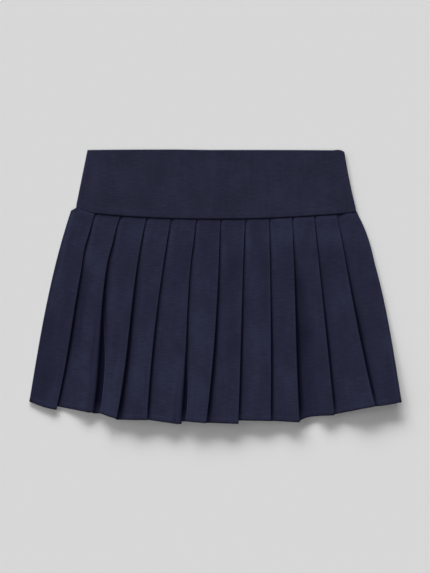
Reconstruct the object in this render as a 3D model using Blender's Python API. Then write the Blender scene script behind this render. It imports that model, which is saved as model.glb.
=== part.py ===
"""A pleated mini skirt laid flat on a surface with its front up.

X runs across the skirt, +Y up the skirt to the waist, and Z up from the surface. Lengths are in
millimetres and turned into metres where the meshes are made. The cloth is a wall round a centre line
that is worked out for each row from the yoke seam to the hem: over each panel, round its fold, back
under it, round the inner fold and out again as the next panel.
"""

from collections import namedtuple
from math import cos, hypot, pi, radians, sin

import bmesh
import bpy

MM = 0.001

# Cloth
PLEAT_CLOTH = 1.0
YOKE_CLOTH = 1.6
SEAM_GAP = 0.3
SEAM_UPRIGHT = 0.2
YOKE_ROLL = 1.1

# Outline, all half-widths from the middle
WAIST_HALF = 172.5
YOKE_SEAM_HALF = 186.6
WAIST_Y = 183.7
WAIST_CORNER_DROP = 1.1
SEAM_Y = 90.8
SEAM_CURVE = 2.3e-4
SEAM_CURVE_ENDS = 2.0e-9
SHOULDER_X = -185.5
SHOULDER_RISE = 3.2
SHOULDER_RISE_RUN = 24.0
SHOULDER_SLOPE = 0.8

# Pleats
CLOTH_A_PLEAT = 73.0
DEEPEST_UNDERLAP = 20.0
SHORTEST_RAMP = 12.0
FRONT_PITCH_AT_SEAM = 1.4
FRONT_PITCH_AT_HEM = 2.0
BACK_PITCH = 1.4
BACK_STEP = 8.0
UNDERLAP_RECESS = 1.5
OPENS_FROM = 0.66

# The skirt's back hem stays just inside the front's
BACK_FOLD_COUNT = 11
BACK_FOLD_SPREAD = 0.81
BACK_HEM_MIDDLE = -176.5
BACK_HEM_SIDE = -152.6

# Height of the front over the back
FRONT_REST = PLEAT_CLOTH + 2 * BACK_PITCH + SEAM_GAP
YOKE_SEAM_LIFT = 3.4
YOKE_LIFT_FROM = 0.55
YOKE_LIFT_SIDE_RUN = 30.0

# How finely the walls are cut
ROWS = 7
YOKE_ROWS = 6
YOKE_COLUMNS = 18
ARC_STEPS = 3
RAMP_STEPS = 4
FLAT_STEPS = 3
SHARP_EDGE = radians(50)

# Each edge and fold is a curve through four places, evenly spaced from the yoke seam to the hem.
# roll is the radius that the side edge turns over, drop how far in from it the front comes down.
Side = namedtuple(
    "Side", "seam upper lower hem hem_y roll_at_seam roll_at_hem drop_at_seam drop_at_hem"
)
LEFT_SIDE = Side(-192.5, -217.0, -234.7, -248.3, -152.4, 1.25, 1.4, 30.0, 26.0)
RIGHT_SIDE = Side(187.0, 217.2, 234.0, 248.3, -153.2, 1.25, 3.0, 13.0, 26.0)

# over_y and under_y are where the hem of the panel on top and of the one that comes out from under
# it meet the fold, lift how high the hem stands off there, and opens how far the fold has spread.
Fold = namedtuple("Fold", "seam upper lower hem over_y under_y lift opens")
FRONT_FOLDS = (
    Fold(-162.0, -182.5, -197.0, -212.0, -161.8, -158.9, 0.0, 0.0),
    Fold(-126.5, -147.0, -154.5, -161.0, -168.5, -169.7, 1.0, 7.5),
    Fold(-92.5, -107.5, -117.5, -130.5, -175.2, -177.0, 2.0, 0.0),
    Fold(-59.0, -73.0, -83.5, -90.0, -178.3, -177.0, 1.5, 0.0),
    Fold(-26.0, -35.0, -39.5, -44.5, -182.6, -179.5, 2.0, 2.5),
    Fold(6.5, 3.5, -2.5, -11.0, -181.8, -181.3, 4.0, 0.0),
    Fold(40.0, 36.5, 33.5, 31.0, -183.4, -178.1, 3.0, 0.0),
    Fold(73.0, 74.0, 75.5, 76.0, -179.3, -178.9, 2.0, 0.0),
    Fold(104.0, 106.5, 109.5, 113.0, -181.0, -177.2, 0.0, 0.0),
    Fold(133.5, 143.0, 151.5, 160.0, -171.0, -169.5, 1.0, 0.0),
    Fold(165.0, 178.5, 196.0, 213.5, -159.2, -158.4, 4.0, 0.0),
)

Cloth = namedtuple("Cloth", "name colour roughness")
YOKE_FABRIC = Cloth("yoke_cloth", (0.020, 0.021, 0.042), 0.9)
PLEAT_FABRIC = Cloth("pleat_cloth", (0.021, 0.024, 0.051), 0.9)

# A place on a face before it is cut into stations, and a station of the cloth's centre line. hem_y is
# where its line down the skirt meets the hem.
Place = namedtuple("Place", "x level lift hem_y")
Station = namedtuple("Station", "x z hem_y")


def mix(a, b, share):
    return a + (b - a) * share


def smooth(share):
    """0 to 1 with a flat start and a flat end."""
    share = min(max(share, 0.0), 1.0)
    return share * share * (3.0 - 2.0 * share)


def across(line, s):
    """Where an edge or fold lies across the skirt, s of the way from the yoke seam to the hem."""
    a, b, c, d = line.seam, line.upper, line.lower, line.hem
    ta, tb, tc, td = s, s - 1 / 3, s - 2 / 3, s - 1
    return (
        -4.5 * a * tb * tc * td
        + 13.5 * b * ta * tc * td
        - 13.5 * c * ta * tb * td
        + 4.5 * d * ta * tb * tc
    )


def seam_line(x):
    """Height up the skirt of the seam between yoke and pleats."""
    y = SEAM_Y + SEAM_CURVE * x**2 + SEAM_CURVE_ENDS * x**4
    y += SHOULDER_RISE * smooth((SHOULDER_X + SHOULDER_RISE_RUN - x) / SHOULDER_RISE_RUN)
    return y - SHOULDER_SLOPE * max(0.0, SHOULDER_X - x)


def mirrored(side):
    """The same side edge for a panel that is modelled with its face up and then turned over."""
    return side._replace(seam=-side.seam, upper=-side.upper, lower=-side.lower, hem=-side.hem)


def even_folds():
    """The back's folds, spread evenly over its width."""
    folds = []
    for k in range(BACK_FOLD_COUNT):
        share = BACK_FOLD_SPREAD * (2 * k / (BACK_FOLD_COUNT - 1) - 1)
        xs = [share * x for x in RIGHT_SIDE[:4]]
        hem_y = back_hem(xs[3])
        folds.append(Fold(*xs, hem_y, hem_y, 0.0, 0.0))
    return folds


def back_hem(x):
    return mix(BACK_HEM_MIDDLE, BACK_HEM_SIDE, (x / RIGHT_SIDE.hem) ** 2)


def underlap(cloth_left, width_over, opening):
    """How far the cloth is folded back under a panel, from the cloth that the next panel leaves."""
    return min(cloth_left / 2, DEEPEST_UNDERLAP, width_over - opening - SHORTEST_RAMP)


def arc(x, z, radius_x, radius_z, start, end):
    """Points round part of an ellipse, from one angle to the other."""
    points = []
    for i in range(ARC_STEPS + 1):
        angle = mix(start, end, i / ARC_STEPS)
        points.append((x + radius_x * cos(angle), z + radius_z * sin(angle)))
    return points


def side_curl(edge_x, inward, roll, cloth, front):
    """The side edge's quarter turn, from the side seam round to the flat of the cloth."""
    centre_x = edge_x + inward * (cloth / 2 + roll)
    seam_x = edge_x + inward * cloth / 2
    seam_z = cloth / 2 + roll + SEAM_UPRIGHT
    if front:
        above = seam_z + SEAM_GAP
        turn = arc(centre_x, above + SEAM_UPRIGHT, -inward * roll, roll, 0.0, pi / 2)
        return [(seam_x, above)] + turn
    turn = arc(centre_x, seam_z - SEAM_UPRIGHT, -inward * roll, roll, 0.0, -pi / 2)
    return [(seam_x, seam_z)] + turn


def roll_at(side, s):
    return mix(side.roll_at_seam, side.roll_at_hem, s)


def side_height(roll):
    """Underside of the front where it leaves the side edge's turn."""
    return 2 * (roll + SEAM_UPRIGHT) + SEAM_GAP


class Front:
    """Heights of the front pleats: each panel rises over the next fold, and the hem lifts."""

    facing = 1
    level_at_side = 0
    folds = FRONT_FOLDS
    left = LEFT_SIDE
    right = RIGHT_SIDE

    def pitch(self, s):
        return mix(FRONT_PITCH_AT_SEAM, FRONT_PITCH_AT_HEM, s)

    def rest(self, x, s):
        """Underside of the lowest layer, which comes down to the side edges."""
        height = FRONT_REST
        for side in (self.left, self.right):
            drop = mix(side.drop_at_seam, side.drop_at_hem, s)
            share = smooth(abs(x - across(side, s)) / drop)
            height = mix(side_height(roll_at(side, s)), height, share)
        return height

    def ramp_end(self, start, end):
        return end


class Back:
    """Heights of the back pleats, turned over: the panels lie on the surface, and each steps down
    to it just past the fold that it comes out from under."""

    facing = -1
    level_at_side = 2
    folds = even_folds()
    left = mirrored(RIGHT_SIDE)
    right = mirrored(LEFT_SIDE)

    def pitch(self, s):
        return BACK_PITCH

    def rest(self, x, s):
        return 2 * BACK_PITCH

    def ramp_end(self, start, end):
        return start + BACK_STEP


def height(panel, s, x, level, lift):
    """Height of the cloth's centre line on a layer of the stack: 0 is innermost, 2 outermost."""
    return PLEAT_CLOTH / 2 + panel.rest(x, s) + lift + panel.facing * level * panel.pitch(s)


def face(panel, s, begin, end):
    """Stations over a panel's face, which changes layer on a ramp and is flat after it."""
    ramp_end = panel.ramp_end(begin.x, end.x)
    xs = [mix(begin.x, ramp_end, i / RAMP_STEPS) for i in range(1, RAMP_STEPS + 1)]
    if ramp_end != end.x:
        xs += [mix(ramp_end, end.x, i / FLAT_STEPS) for i in range(1, FLAT_STEPS + 1)]
    for x in xs:
        rise = smooth((x - begin.x) / (ramp_end - begin.x))
        level = mix(begin.level, end.level, rise)
        z = height(panel, s, x, level, mix(begin.lift, end.lift, rise))
        yield Station(x, z, mix(begin.hem_y, end.hem_y, (x - begin.x) / (end.x - begin.x)))


def fold_under(panel, s, inner, edge, fold):
    """Stations round a fold, back under its panel and round the inner fold. All three layers follow
    one straight line from the inner fold to the outer one, so they never cross."""
    turn = panel.pitch(s) / 2
    turn_z = panel.facing * turn
    edge_z = height(panel, s, edge, 1.5, inner.lift)
    inner_z = height(panel, s, inner.x, 0.5, inner.lift)
    for x, z in arc(edge - PLEAT_CLOTH / 2 - turn, edge_z, turn, turn_z, pi / 2, -pi / 2):
        yield Station(x, z, fold.over_y)
    for x, z in arc(inner.x + PLEAT_CLOTH / 2 + turn, inner_z, -turn, turn_z, pi / 2, -pi / 2):
        yield Station(x, z, inner.hem_y + UNDERLAP_RECESS)


def stations(panel, s):
    """The centre line of a pleated panel at one row, from its left side to its right."""
    left, right, folds = panel.left, panel.right, panel.folds
    edges = [across(line, s) for line in (left, *folds, right)]
    opened = [0.0] + [f.opens * smooth((s - OPENS_FROM) / (1 - OPENS_FROM)) for f in folds]
    left_curl = side_curl(edges[0], 1, roll_at(left, s), PLEAT_CLOTH, panel.facing > 0)
    right_curl = side_curl(edges[-1], -1, roll_at(right, s), PLEAT_CLOTH, panel.facing > 0)

    path = [Station(x, z, left.hem_y) for x, z in left_curl]
    begin = Place(left_curl[-1][0], panel.level_at_side, 0.0, left.hem_y)
    for k, fold in enumerate(folds):
        edge, width, next_width = edges[k + 1], edges[k + 1] - edges[k], edges[k + 2] - edges[k + 1]
        depth = underlap(CLOTH_A_PLEAT - next_width, width, opened[k])
        hem_y = mix(fold.over_y, begin.hem_y, depth / width)
        lift = fold.lift * s**2
        inner = Place(edge - depth, 2, lift, hem_y)
        path += face(panel, s, begin, inner)
        path += fold_under(panel, s, inner, edge, fold)
        path.append(Station(edge, height(panel, s, edge, 0, lift), fold.under_y))
        begin = Place(edge + opened[k + 1], 0, lift, fold.under_y)

    end = Place(right_curl[-1][0], panel.level_at_side, 0.0, right.hem_y)
    path += list(face(panel, s, begin, end))[:-1]
    return path + [Station(x, z, right.hem_y) for x, z in reversed(right_curl)]


def pleated_rows(panel):
    """Rows of centre points (x, y, z) of a pleated panel, from the yoke seam to the hem."""
    at_seam = stations(panel, 0.0)
    rows = []
    for i in range(ROWS):
        s = i / (ROWS - 1)
        row = []
        for top, here in zip(at_seam, stations(panel, s)):
            seam_y = seam_line(panel.facing * top.x) - SEAM_GAP / 2
            row.append((panel.facing * here.x, mix(seam_y, here.hem_y, s), here.z))
        rows.append(row)
    return rows


def yoke_rows(front):
    """Rows of centre points of a yoke, from the waist down to its seam with the pleats."""
    rows = []
    for i in range(YOKE_ROWS):
        down = i / (YOKE_ROWS - 1)
        half = mix(WAIST_HALF, YOKE_SEAM_HALF, down)
        inside = half - YOKE_CLOTH / 2 - YOKE_ROLL
        left = side_curl(-half, 1, YOKE_ROLL, YOKE_CLOTH, front)
        right = side_curl(half, -1, YOKE_ROLL, YOKE_CLOTH, front)
        flat = []
        for j in range(1, YOKE_COLUMNS):
            x = -inside * cos(pi * j / YOKE_COLUMNS)
            z = left[-1][1]
            if front:
                rise = smooth((down - YOKE_LIFT_FROM) / (1 - YOKE_LIFT_FROM))
                z += YOKE_SEAM_LIFT * rise * smooth((inside - abs(x)) / YOKE_LIFT_SIDE_RUN)
            flat.append((x, z))
        row = []
        for x, z in left + flat + right[::-1]:
            waist_y = WAIST_Y - WAIST_CORNER_DROP * (x / half) ** 4
            seam_y = seam_line(x / half * YOKE_SEAM_HALF) + SEAM_GAP / 2
            row.append((x, mix(waist_y, seam_y, down), z))
        rows.append(row)
    return rows


def offsets(row, half):
    """Each centre point of a row moved half a wall's thickness along the row's normal."""
    moved = []
    for i, (x, y, z) in enumerate(row):
        before, after = row[max(i - 1, 0)], row[min(i + 1, len(row) - 1)]
        normals = []
        for a, b in ((before, row[i]), (row[i], after)):
            dx, dz = b[0] - a[0], b[2] - a[2]
            length = hypot(dx, dz)
            if length > 1e-9:
                normals.append((-dz / length, dx / length))
        nx = sum(n[0] for n in normals) / len(normals)
        nz = sum(n[1] for n in normals) / len(normals)
        stretch = half / max(nx * nx + nz * nz, 0.5)
        moved.append((x + nx * stretch, y, z + nz * stretch))
    return moved


def wall(name, rows, cloth, fabric):
    """A closed wall of cloth round a grid of centre points."""
    grid = bmesh.new()
    sheets = []
    for half in (cloth / 2, -cloth / 2):
        sheets.append(
            [[grid.verts.new([c * MM for c in p]) for p in offsets(row, half)] for row in rows]
        )
    outer, inner = sheets
    last_row, last = len(rows) - 1, len(rows[0]) - 1

    def quad(a, b, c, d, along_x):
        """Two triangles, cut along the same slant whichever way the row runs here."""
        if along_x:
            triangles = ((a, b, c), (a, c, d))
        else:
            triangles = ((a, b, d), (b, c, d))
        for triangle in triangles:
            grid.faces.new(triangle)

    for i in range(last_row):
        for j in range(last):
            along_x = rows[i][j + 1][0] >= rows[i][j][0]
            for sheet in (outer, inner):
                a, b, c, d = sheet[i][j], sheet[i][j + 1], sheet[i + 1][j + 1], sheet[i + 1][j]
                quad(a, b, c, d, along_x)
        for j in (0, last):
            quad(outer[i][j], outer[i + 1][j], inner[i + 1][j], inner[i][j], True)
    for i in (0, last_row):
        for j in range(last):
            quad(outer[i][j], outer[i][j + 1], inner[i][j + 1], inner[i][j], True)
    bmesh.ops.recalc_face_normals(grid, faces=grid.faces)

    mesh = bpy.data.meshes.new(name)
    grid.to_mesh(mesh)
    grid.free()
    mesh.shade_smooth()
    mesh.set_sharp_from_angle(angle=SHARP_EDGE)
    mesh.materials.append(dyed(name, fabric))
    piece = bpy.data.objects.new(name, mesh)
    bpy.context.collection.objects.link(piece)
    return piece


def dyed(name, fabric):
    """Matt navy cloth of a piece's own."""
    material = bpy.data.materials.new(f"{name}_{fabric.name}")
    material.use_nodes = True
    shader = material.node_tree.nodes["Principled BSDF"]
    shader.inputs["Base Color"].default_value = (*fabric.colour, 1.0)
    shader.inputs["Roughness"].default_value = fabric.roughness
    shader.inputs["Metallic"].default_value = 0.0
    return material


def centre_on_floor(pieces):
    """Moves the skirt so that the middle of its underside is at the origin."""
    corners = [v.co for piece in pieces for v in piece.data.vertices]
    lows = [min(c[k] for c in corners) for k in range(3)]
    highs = [max(c[k] for c in corners) for k in range(3)]
    for piece in pieces:
        piece.location = (-(lows[0] + highs[0]) / 2, -(lows[1] + highs[1]) / 2, -lows[2])


def main():
    for thing in list(bpy.data.objects):
        bpy.data.objects.remove(thing)
    pieces = [
        wall("back_yoke", yoke_rows(front=False), YOKE_CLOTH, YOKE_FABRIC),
        wall("front_yoke", yoke_rows(front=True), YOKE_CLOTH, YOKE_FABRIC),
        wall("back_pleats", pleated_rows(Back()), PLEAT_CLOTH, PLEAT_FABRIC),
        wall("front_pleats", pleated_rows(Front()), PLEAT_CLOTH, PLEAT_FABRIC),
    ]
    centre_on_floor(pieces)


main()
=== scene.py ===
"""A navy pleated mini skirt laid flat with its front up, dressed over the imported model.

X runs across the skirt, +Y up it to the waist and Z up from the floor. Sizes are in millimetres, and
are turned into metres where the meshes are made.
"""

import logging
from dataclasses import dataclass, field, replace
from enum import Enum
from math import cos, exp, pi, radians, sin
from typing import Sequence

import bpy
import numpy as np
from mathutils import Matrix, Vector


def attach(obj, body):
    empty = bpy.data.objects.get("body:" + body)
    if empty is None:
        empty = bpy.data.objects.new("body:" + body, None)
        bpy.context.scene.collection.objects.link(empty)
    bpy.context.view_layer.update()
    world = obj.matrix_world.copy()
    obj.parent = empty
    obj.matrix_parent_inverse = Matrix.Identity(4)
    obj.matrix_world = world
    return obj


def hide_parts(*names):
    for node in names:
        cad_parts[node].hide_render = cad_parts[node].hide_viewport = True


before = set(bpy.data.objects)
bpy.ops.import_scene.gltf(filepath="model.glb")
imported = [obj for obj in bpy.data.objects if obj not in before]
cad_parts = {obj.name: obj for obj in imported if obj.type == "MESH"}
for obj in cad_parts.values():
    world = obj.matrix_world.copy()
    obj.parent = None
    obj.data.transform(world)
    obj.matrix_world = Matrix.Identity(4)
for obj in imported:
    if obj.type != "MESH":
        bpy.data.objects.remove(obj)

LOG = logging.getLogger("skirt")
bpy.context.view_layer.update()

MM = 0.001
SEAM_GAP = 0.3  # between pieces that are sewn together
SEAM_UPRIGHT = 0.2  # how far the cloth stands straight up or down beside a side seam
SEAM_START = 0.04  # how far from the middle of the seam it begins
CURL_STEPS = 5  # flat parts in a quarter turn


# ---------------------------------------------------------------- small sums


def mix(a: float, b: float, share: float) -> float:
    """The value that lies share of the way from a to b."""
    return a + (b - a) * share


def smooth(share: float) -> float:
    """0 to 1 with a flat start and a flat end."""
    share = min(max(share, 0.0), 1.0)
    return share * share * (3.0 - 2.0 * share)


def smooth_all(share: np.ndarray) -> np.ndarray:
    """The same as smooth, for an array."""
    share = np.clip(share, 0.0, 1.0)
    return share * share * (3.0 - 2.0 * share)


@dataclass(frozen=True)
class Onset:
    """A soft change from 0 to 1, from a start over a run that is negative where it goes backwards."""

    start: float
    run: float

    def at(self, place: float) -> float:
        """How much of the change has come at a place."""
        return smooth((place - self.start) / self.run)

    def over(self, places: np.ndarray) -> np.ndarray:
        """How much of the change has come at each of many places."""
        return smooth_all((places - self.start) / self.run)


@dataclass(frozen=True)
class Hump:
    """A soft hump from 0 to 1 and back, with its middle and how wide it is."""

    middle: float
    width: float

    def at(self, place: float) -> float:
        """How high the hump is at a place."""
        return exp(-(((place - self.middle) / self.width) ** 2))

    def over(self, places: np.ndarray) -> np.ndarray:
        """How high the hump is at each of many places."""
        return np.exp(-(((places - self.middle) / self.width) ** 2))


UPPER_HALF = Onset(0.0, 0.5)
LOWER_HALF = Onset(0.5, 0.5)
CLEAR_OF_LEFT_END = Onset(-166.0, 10.0)


def spaced(start: float, end: float, count: int) -> list[float]:
    """Places from start to end, closer together near both ends.

    Args:
        start: The place before the first one that is given.
        end: The last place.
        count: How many places to give.

    Returns:
        The places, with start left out and end put in.
    """
    return [mix(start, end, 0.5 - 0.5 * cos(pi * i / count)) for i in range(1, count + 1)]


def rows_down(length: float, top: Sequence[float], bottom: Sequence[float], step: float) -> list[float]:
    """The rows' places down a piece of cloth, closer together at both its ends.

    Args:
        length: How long the piece is.
        top: The first rows' distances from the top.
        bottom: The last rows' distances from the bottom.
        step: About how far apart the rows between them lie.

    Returns:
        The places, as shares of the length.
    """
    span = length - top[-1] - bottom[0]
    count = round(span / step)
    middle = [top[-1] + span * i / count for i in range(1, count)]
    return [d / length for d in [*top, *middle, *[length - b for b in bottom]]]


def run_lengths(points: np.ndarray, axis: int) -> np.ndarray:
    """How far each point of a grid lies along its row (axis 1) or down its column (axis 0).

    Args:
        points: The grid's points.
        axis: 1 for along the rows, and 0 for down the columns.

    Returns:
        The distance at each point.
    """
    steps = np.linalg.norm(np.diff(points, axis=axis), axis=2)
    none_yet = np.zeros_like(steps.take([0], axis=axis))
    return np.concatenate([none_yet, np.cumsum(steps, axis=axis)], axis=axis)


def quarter_turn(
    start_x: float, flat_x: float, reach: float, seam_z: float, flat_z: float, up: int
) -> list[tuple[float, float]]:
    """The turn of cloth from a side seam round to where the cloth lies flat.

    Args:
        start_x: Where the middle of the cloth leaves the seam.
        flat_x: Where the flat begins.
        reach: How far the turn bulges past that.
        seam_z: Height of the seam.
        flat_z: Height of the flat.
        up: 1 where the cloth goes up from the seam, and -1 where it goes down.

    Returns:
        The places across and the heights, from the seam to the flat.
    """
    start_z = seam_z + up * SEAM_START
    bend_z = start_z + up * SEAM_UPRIGHT
    points = [(start_x, start_z)]
    for i in range(CURL_STEPS + 1):
        angle = pi / 2 * i / CURL_STEPS
        points.append((flat_x + reach * cos(angle), mix(bend_z, flat_z, sin(angle))))
    return points


def put_in_scene(name: str, data: bpy.types.ID) -> bpy.types.Object:
    """Makes an object of a mesh, a light or a camera, and puts it in the scene.

    Args:
        name: The object's name.
        data: The mesh, light or camera.

    Returns:
        The object.
    """
    made = bpy.data.objects.new(name, data)
    bpy.context.collection.objects.link(made)
    return made


# ---------------------------------------------------------------- the skirt's lines


@dataclass(frozen=True)
class SeamLine:
    """The curved seam between the yoke and the pleats, which rises to a squared left shoulder."""

    middle: float = 90.8
    curve: float = 2.3e-4
    curve_at_ends: float = 2.0e-9
    shoulder_x: float = -187.5
    shoulder_slope: float = 0.7
    shoulder_rise: float = 4.5
    shoulder_rises: Onset = Onset(-163.5, -24.0)
    right_drop: float = 0.9
    right_drops: Onset = Onset(120.0, 50.0)

    def height(self, x: float) -> float:
        """How far up the skirt the seam lies at x.

        Args:
            x: A place across the skirt.

        Returns:
            The seam's place up the skirt.
        """
        y = self.middle + self.curve * x**2 + self.curve_at_ends * x**4
        y += self.shoulder_rise * self.shoulder_rises.at(x)
        y -= self.right_drop * self.right_drops.at(x)
        return y - self.shoulder_slope * max(0.0, self.shoulder_x - x)


@dataclass(frozen=True)
class DownLine:
    """A line down the skirt through four places, evenly spaced from the yoke seam to the hem."""

    seam: float
    upper: float
    lower: float
    hem: float

    def at(self, down: float) -> float:
        """Where the line lies across the skirt, down of the way from the seam to the hem.

        Args:
            down: Which row, from 0 at the seam to 1 at the hem.

        Returns:
            The line's place across the skirt.
        """
        ta, tb, tc, td = down, down - 1 / 3, down - 2 / 3, down - 1
        return (
            -4.5 * self.seam * tb * tc * td
            + 13.5 * self.upper * ta * tc * td
            - 13.5 * self.lower * ta * tb * td
            + 4.5 * self.hem * ta * tb * tc
        )


@dataclass(frozen=True)
class SideEdge(DownLine):
    """A side of the skirt, where the front turns over to meet the back at the side seam.

    shoulder is how far the edge swells out just under the yoke seam, and sag how far the hem bows
    down beside it.
    """

    hem_y: float
    roll_at_seam: float
    roll_at_hem: float
    drop_at_seam: float
    drop_at_hem: float
    shoulder: float = 0.0
    shoulder_swells: Onset = Onset(0.0, 0.1)
    shoulder_ends: Onset = Onset(0.3, -0.16)
    sag: float = 0.0

    def at(self, down: float) -> float:
        """Where the edge lies, with its rounded shoulder just under the seam."""
        return super().at(down) + self.shoulder * self.shoulder_swells.at(down) * self.shoulder_ends.at(down)

    def roll(self, down: float) -> float:
        """Radius that the cloth turns over."""
        return mix(self.roll_at_seam, self.roll_at_hem, down)

    def drop(self, down: float) -> float:
        """How far in from the edge the front comes down to it."""
        return mix(self.drop_at_seam, self.drop_at_hem, down)

    def turned_over(self) -> "SideEdge":
        """The same edge for a panel that is laid out with its face up and then turned over."""
        places = {"seam": -self.seam, "upper": -self.upper, "lower": -self.lower, "hem": -self.hem}
        return replace(self, shoulder=-self.shoulder, **places)


@dataclass(frozen=True)
class PleatFold(DownLine):
    """One knife pleat's outer fold, and how the cloth behaves beside it.

    over_y and under_y are where the hem of the panel on top and of the one that comes out from under
    it meet the fold. lift is how high the hem is carried there, stands_mid and stands_hem how much
    further the fold's own edge stands up halfway and at the hem, opens how far the fold has spread
    between opens_from and opens_by, late how much of the next panel stays down before it climbs, sag
    how far the hem of the panel on top bows down, swoop how far the next hem dips beside the fold,
    gapes how wide the crevice beside the fold is from halfway down, hollow how much painted shade
    darkens the next panel beside it, bow how far the line bends aside and where, and shut how far down
    the fold lies tight and has no painted crevice shade.
    """

    over_y: float
    under_y: float
    lift: float = 0.0
    stands_mid: float = 0.0
    stands_hem: float = 0.0
    opens: float = 0.0
    opens_from: float = 0.56
    opens_by: float = 1.0
    late: float = 0.0
    sag: float = 0.0
    swoop: float = 0.0
    gapes: float = 0.4
    hollow_shade: float = 0.16
    bow: tuple[float, float] = (0.0, 0.1)
    bow_length: float = 0.07
    shut: float = 0.0
    shut_always: float = 0.012
    shade_run: float = 0.09

    def at(self, down: float) -> float:
        """Where the fold's edge lies, with its bend."""
        aside, place = self.bow
        return super().at(down) + aside * Hump(place, self.bow_length).at(down)

    def shade(self, down: float) -> float:
        """How much painted shade the crevice beside the fold gets, none where it lies tight under the seam.
        """
        return smooth((down - self.shut_always - self.shut) / self.shade_run)

    def opening(self, down: float) -> float:
        """How much of the fold's spread has come at a row, from 0 to 1."""
        return Onset(self.opens_from, self.opens_by - self.opens_from).at(down) if self.opens else 0.0

    def stand(self, down: float) -> float:
        """How much further the fold's edge stands up at a row."""
        return mix(self.stands_mid * UPPER_HALF.at(down), self.stands_hem, LOWER_HALF.at(down))


class Lies(Enum):
    """Which way a piece's right side faces."""

    FACE_UP = 1
    FACE_DOWN = -1


# ---------------------------------------------------------------- how the cloth lies


@dataclass(frozen=True)
class Crease:
    """A soft ridge, or a trough where its height is negative, along a line on the cloth.

    tone is how much painted highlight, with a little real shine, it adds along it, or how much painted
    shade where it is negative, and fade how much softer it ends lengthways than sideways.
    """

    start: tuple[float, float]
    end: tuple[float, float]
    width: float
    height: float
    tone: float = 0.0
    fade: float = 2.5

    def near(self, x: np.ndarray, y: np.ndarray) -> np.ndarray:
        """How much of the crease there is.

        Args:
            x: Places across the skirt.
            y: Places up the skirt.

        Returns:
            The share at each place, from 0 to 1.
        """
        along = np.array([self.end[0] - self.start[0], self.end[1] - self.start[1]])
        length = float(np.hypot(*along))
        along = along / length
        from_start = (x - self.start[0], y - self.start[1])
        t = from_start[0] * along[0] + from_start[1] * along[1]
        aside = from_start[0] * along[1] - from_start[1] * along[0]
        past = np.maximum(0.0, np.maximum(-t, t - length))
        return np.exp(-((aside / self.width) ** 2) - (past / (self.fade * self.width)) ** 2)


@dataclass(frozen=True)
class CornerLift:
    """The lower right corner, which front and back both lift off the floor."""

    rightwards: Onset = Onset(168.0, 82.0)
    downwards: Onset = Onset(-30.0, -130.0)
    height: float = 4.7

    def over(self, x: np.ndarray, y: np.ndarray) -> np.ndarray:
        """How far the corner is lifted at each place."""
        return self.height * self.rightwards.over(x) * self.downwards.over(y)


@dataclass(frozen=True)
class FlattenedSide:
    """The left of the hem, where the layers lie flatter, closer together and lower."""

    leftwards: Onset = Onset(-148.0, -60.0)
    downwards: Onset = Onset(0.4, 0.45)
    closer: float = 0.36
    lower: float = 2.1

    def share(self, x: float, down: float) -> float:
        """How much of the flattening there is, from 0 to 1."""
        return self.leftwards.at(x) * self.downwards.at(down)


# ---------------------------------------------------------------- finishes


@dataclass(frozen=True)
class Spots:
    """Unevenness on the cloth: a spot's size across and down it, its finer layers, and how much it shows."""

    across: float
    down: float
    detail: float
    contrast: float
    roughness: float = 0.55


@dataclass(frozen=True)
class NodeBench:
    """A material's node tree, with short ways to add to it."""

    tree: bpy.types.NodeTree

    def add(self, kind: str, settings: dict | None = None, sockets: dict | None = None) -> bpy.types.Node:
        """Adds a node.

        Args:
            kind: The node's type name, without ShaderNode.
            settings: Values for the node's own properties.
            sockets: Values or links for its inputs, by name or number.

        Returns:
            The node.
        """
        node = self.tree.nodes.new(f"ShaderNode{kind}")
        for name, value in (settings or {}).items():
            setattr(node, name, value)
        self.fill(node, sockets or {})
        return node

    def fill(self, node: bpy.types.Node, sockets: dict) -> None:
        """Gives a node's inputs their values and links, by name or number.

        Args:
            node: The node.
            sockets: The values and links.
        """
        for name, value in sockets.items():
            if isinstance(value, bpy.types.NodeSocket):
                self.tree.links.new(value, node.inputs[name])
            else:
                node.inputs[name].default_value = value

    def sum(
        self, operation: str, first: object, second: object = 0.0, third: object = 0.0
    ) -> bpy.types.NodeSocket:
        """One step of arithmetic on sockets or numbers, and the socket that it comes out of."""
        node = self.add("Math", {"operation": operation}, {0: first, 1: second, 2: third})
        return node.outputs[0]

    def noise(self, place: bpy.types.NodeSocket, spots: Spots) -> bpy.types.NodeSocket:
        """Unevenness of the cloth.

        Args:
            place: The cloth's own coordinates, in metres.
            spots: How large and how rough the spots are.

        Returns:
            A value about one half.
        """
        sized = self.add("Mapping", {"vector_type": "POINT"}, {"Vector": place})
        sized.inputs["Scale"].default_value = (1 / (spots.across * MM), 1 / (spots.down * MM), 1.0)
        sockets = {"Vector": sized.outputs[0], "Scale": 1.0}
        sockets |= {"Detail": spots.detail, "Roughness": spots.roughness}
        return self.add("TexNoise", {"noise_dimensions": "2D"}, sockets).outputs[0]

    def blend(self, share: bpy.types.NodeSocket, first: object, second: object) -> bpy.types.NodeSocket:
        """A colour between two others.

        Args:
            share: How much of the second there is.
            first: A socket, or a red, a green and a blue.
            second: The same for the other colour.

        Returns:
            The blended colour.
        """
        colours = [c if isinstance(c, bpy.types.NodeSocket) else (*c, 1.0) for c in (first, second)]
        sockets = {0: share, 6: colours[0], 7: colours[1]}
        return self.add("Mix", {"data_type": "RGBA", "clamp_factor": True}, sockets).outputs[2]

    def bump(self, height: bpy.types.NodeSocket, strength: float, depth: float) -> bpy.types.NodeSocket:
        """The surface's direction over a relief.

        Args:
            height: The relief, from 0 to 1.
            strength: How strongly it shows.
            depth: How deep it is, in millimetres.

        Returns:
            The direction, for a shader's Normal.
        """
        sockets = {"Height": height, "Strength": strength, "Distance": depth * MM}
        return self.add("Bump", {}, sockets).outputs[0]

    def dress(self, looks: dict[str, object]) -> None:
        """Gives the shader its values and links."""
        self.fill(self.tree.nodes["Principled BSDF"], looks)


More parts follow.
